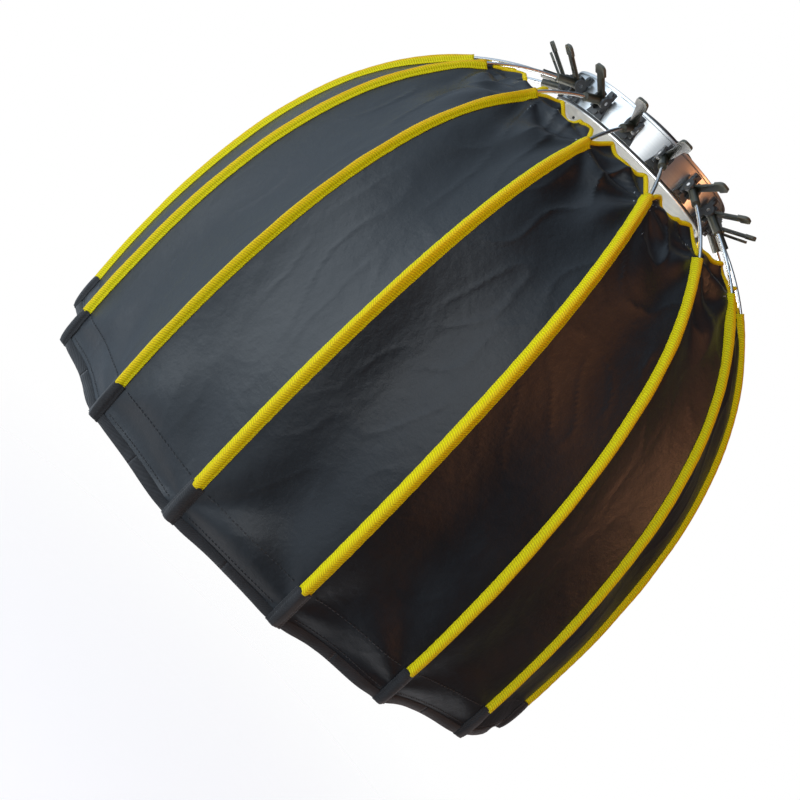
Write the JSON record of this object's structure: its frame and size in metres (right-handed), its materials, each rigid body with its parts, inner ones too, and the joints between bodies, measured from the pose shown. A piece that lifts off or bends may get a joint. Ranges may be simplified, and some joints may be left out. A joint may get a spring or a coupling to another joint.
{
  "type": "octabox",
  "caption": "Deep parabolic quick-opening softbox: black cloth on bowed rods in yellow sleeves, hinged to a rotating bayonet speed ring, with baffle and front diffuser.",
  "frame": {"origin": "centre of the bayonet insert's rear seating face, on the lens axis", "axes": "+Z along the lens axis back to the lamp, the canopy opens towards -Z; +X through the first rod"},
  "size_m": [0.7048, 0.7048, 0.5953],
  "materials": {
    "bare_aluminium": "turned and clear anodised",
    "bright_band": "polished aluminium band",
    "black_plate": "black powder coat",
    "black_plastic": "moulded black nylon",
    "zinc_screw": "zinc plated screws",
    "spring_steel": "bright spring steel",
    "black_cloth": "black coated nylon, silver lining",
    "yellow_sleeve": "bright yellow rod sleeves",
    "silver_lining": "silver coated lining",
    "black_tape": "black webbing and pocket tabs",
    "white_cloth": "white diffusion cloth"
  },
  "bodies": {
    "mount": {"bayonet_insert": "black_plate", "ring_retainer": "bare_aluminium", "retainer_screws": "zinc_screw"},
    "ring": {"speed_ring": "bright_band", "back_plate": "bright_band", "plate_screws": "zinc_screw", "hinge_brackets": "black_plastic", "bracket_screws": "zinc_screw", "hinge_pins": "spring_steel"},
    "diffuser": {"front_diffuser": "white_cloth"},
    "baffle": {"inner_baffle": "white_cloth", "baffle_straps": "black_tape"},
    "rod_arm_01": {"rod_01": "spring_steel", "lever_01": "black_plastic", "canopy_panel_01": "black_cloth"},
    "rod_arm_02": {"rod_02": "spring_steel", "lever_02": "black_plastic", "canopy_panel_02": "black_cloth"},
    "rod_arm_03": {"rod_03": "spring_steel", "lever_03": "black_plastic", "canopy_panel_03": "black_cloth"},
    "rod_arm_04": {"rod_04": "spring_steel", "lever_04": "black_plastic", "canopy_panel_04": "black_cloth"},
    "rod_arm_05": {"rod_05": "spring_steel", "lever_05": "black_plastic", "canopy_panel_05": "black_cloth"},
    "rod_arm_06": {"rod_06": "spring_steel", "lever_06": "black_plastic", "canopy_panel_06": "black_cloth"},
    "rod_arm_07": {"rod_07": "spring_steel", "lever_07": "black_plastic", "canopy_panel_07": "black_cloth"},
    "rod_arm_08": {"rod_08": "spring_steel", "lever_08": "black_plastic", "canopy_panel_08": "black_cloth"},
    "rod_arm_09": {"rod_09": "spring_steel", "lever_09": "black_plastic", "canopy_panel_09": "black_cloth"},
    "rod_arm_10": {"rod_10": "spring_steel", "lever_10": "black_plastic", "canopy_panel_10": "black_cloth"},
    "rod_arm_11": {"rod_11": "spring_steel", "lever_11": "black_plastic", "canopy_panel_11": "black_cloth"},
    "rod_arm_12": {"rod_12": "spring_steel", "lever_12": "black_plastic", "canopy_panel_12": "black_cloth"},
    "rod_arm_13": {"rod_13": "spring_steel", "lever_13": "black_plastic", "canopy_panel_13": "black_cloth"},
    "rod_arm_14": {"rod_14": "spring_steel", "lever_14": "black_plastic", "canopy_panel_14": "black_cloth"},
    "rod_arm_15": {"rod_15": "spring_steel", "lever_15": "black_plastic", "canopy_panel_15": "black_cloth"},
    "rod_arm_16": {"rod_16": "spring_steel", "lever_16": "black_plastic", "canopy_panel_16": "black_cloth"}
  },
  "joints": [
    {"name": "ring_spin", "type": "hinge", "parent": "mount", "child": "ring", "pos_m": [0, 0, 0], "axis": [0, 0, 1], "continuous": true},
    {"name": "rod_01_fold", "type": "hinge", "parent": "ring", "child": "rod_arm_01", "pos_m": [0.1183, 0, -0.0244], "axis": [0, 1, 0], "range_deg": [0, 30], "deforming": ["canopy_panel_01", "canopy_panel_02", "canopy_panel_03", "canopy_panel_04", "canopy_panel_05", "canopy_panel_06", "canopy_panel_07", "canopy_panel_08", "canopy_panel_09", "canopy_panel_10", "canopy_panel_11", "canopy_panel_12", "canopy_panel_13", "canopy_panel_14", "canopy_panel_15", "canopy_panel_16", "front_diffuser", "inner_baffle", "baffle_straps"]},
    {"name": "rod_02_fold", "type": "hinge", "parent": "ring", "child": "rod_arm_02", "pos_m": [0.10929, 0.04527, -0.0244], "axis": [-0.3827, 0.9239, 0], "range_deg": [0, 30], "deforming": ["canopy_panel_02"]},
    {"name": "rod_03_fold", "type": "hinge", "parent": "ring", "child": "rod_arm_03", "pos_m": [0.08365, 0.08365, -0.0244], "axis": [-0.7071, 0.7071, 0], "range_deg": [0, 30], "deforming": ["canopy_panel_03"]},
    {"name": "rod_04_fold", "type": "hinge", "parent": "ring", "child": "rod_arm_04", "pos_m": [0.04527, 0.10929, -0.0244], "axis": [-0.9239, 0.3827, 0], "range_deg": [0, 30], "deforming": ["canopy_panel_04"]},
    {"name": "rod_05_fold", "type": "hinge", "parent": "ring", "child": "rod_arm_05", "pos_m": [0, 0.1183, -0.0244], "axis": [-1, 0, 0], "range_deg": [0, 30], "deforming": ["canopy_panel_05"]},
    {"name": "rod_06_fold", "type": "hinge", "parent": "ring", "child": "rod_arm_06", "pos_m": [-0.04527, 0.10929, -0.0244], "axis": [-0.9239, -0.3827, 0], "range_deg": [0, 30], "deforming": ["canopy_panel_06"]},
    {"name": "rod_07_fold", "type": "hinge", "parent": "ring", "child": "rod_arm_07", "pos_m": [-0.08365, 0.08365, -0.0244], "axis": [-0.7071, -0.7071, 0], "range_deg": [0, 30], "deforming": ["canopy_panel_07"]},
    {"name": "rod_08_fold", "type": "hinge", "parent": "ring", "child": "rod_arm_08", "pos_m": [-0.10929, 0.04527, -0.0244], "axis": [-0.3827, -0.9239, 0], "range_deg": [0, 30], "deforming": ["canopy_panel_08"]},
    {"name": "rod_09_fold", "type": "hinge", "parent": "ring", "child": "rod_arm_09", "pos_m": [-0.1183, 0, -0.0244], "axis": [0, -1, 0], "range_deg": [0, 30], "deforming": ["canopy_panel_09"]},
    {"name": "rod_10_fold", "type": "hinge", "parent": "ring", "child": "rod_arm_10", "pos_m": [-0.10929, -0.04527, -0.0244], "axis": [0.3827, -0.9239, 0], "range_deg": [0, 30], "deforming": ["canopy_panel_10"]},
    {"name": "rod_11_fold", "type": "hinge", "parent": "ring", "child": "rod_arm_11", "pos_m": [-0.08365, -0.08365, -0.0244], "axis": [0.7071, -0.7071, 0], "range_deg": [0, 30], "deforming": ["canopy_panel_11"]},
    {"name": "rod_12_fold", "type": "hinge", "parent": "ring", "child": "rod_arm_12", "pos_m": [-0.04527, -0.10929, -0.0244], "axis": [0.9239, -0.3827, 0], "range_deg": [0, 30], "deforming": ["canopy_panel_12"]},
    {"name": "rod_13_fold", "type": "hinge", "parent": "ring", "child": "rod_arm_13", "pos_m": [0, -0.1183, -0.0244], "axis": [1, 0, 0], "range_deg": [0, 30], "deforming": ["canopy_panel_13"]},
    {"name": "rod_14_fold", "type": "hinge", "parent": "ring", "child": "rod_arm_14", "pos_m": [0.04527, -0.10929, -0.0244], "axis": [0.9239, 0.3827, 0], "range_deg": [0, 30], "deforming": ["canopy_panel_14"]},
    {"name": "rod_15_fold", "type": "hinge", "parent": "ring", "child": "rod_arm_15", "pos_m": [0.08365, -0.08365, -0.0244], "axis": [0.7071, 0.7071, 0], "range_deg": [0, 30], "deforming": ["canopy_panel_15"]},
    {"name": "rod_16_fold", "type": "hinge", "parent": "ring", "child": "rod_arm_16", "pos_m": [0.10929, -0.04527, -0.0244], "axis": [0.3827, 0.9239, 0], "range_deg": [0, 30], "deforming": ["canopy_panel_16"]},
    {"name": "diffuser_pull", "type": "slide", "parent": "ring", "child": "diffuser", "axis": [0, 0, -1], "range_m": [0, 0.9]},
    {"name": "baffle_pull", "type": "slide", "parent": "ring", "child": "baffle", "axis": [0, 0, -1], "range_m": [0, 0.8]}
  ],
  "couplings": [
    {"joint": "rod_02_fold", "follows": "rod_01_fold", "ratio": 1},
    {"joint": "rod_03_fold", "follows": "rod_01_fold", "ratio": 1},
    {"joint": "rod_04_fold", "follows": "rod_01_fold", "ratio": 1},
    {"joint": "rod_05_fold", "follows": "rod_01_fold", "ratio": 1},
    {"joint": "rod_06_fold", "follows": "rod_01_fold", "ratio": 1},
    {"joint": "rod_07_fold", "follows": "rod_01_fold", "ratio": 1},
    {"joint": "rod_08_fold", "follows": "rod_01_fold", "ratio": 1},
    {"joint": "rod_09_fold", "follows": "rod_01_fold", "ratio": 1},
    {"joint": "rod_10_fold", "follows": "rod_01_fold", "ratio": 1},
    {"joint": "rod_11_fold", "follows": "rod_01_fold", "ratio": 1},
    {"joint": "rod_12_fold", "follows": "rod_01_fold", "ratio": 1},
    {"joint": "rod_13_fold", "follows": "rod_01_fold", "ratio": 1},
    {"joint": "rod_14_fold", "follows": "rod_01_fold", "ratio": 1},
    {"joint": "rod_15_fold", "follows": "rod_01_fold", "ratio": 1},
    {"joint": "rod_16_fold", "follows": "rod_01_fold", "ratio": 1},
    {"joint": "diffuser_pull", "follows": "rod_01_fold", "m_per_rad": 1.7188},
    {"joint": "baffle_pull", "follows": "rod_01_fold", "m_per_rad": 1.5278}
  ]
}
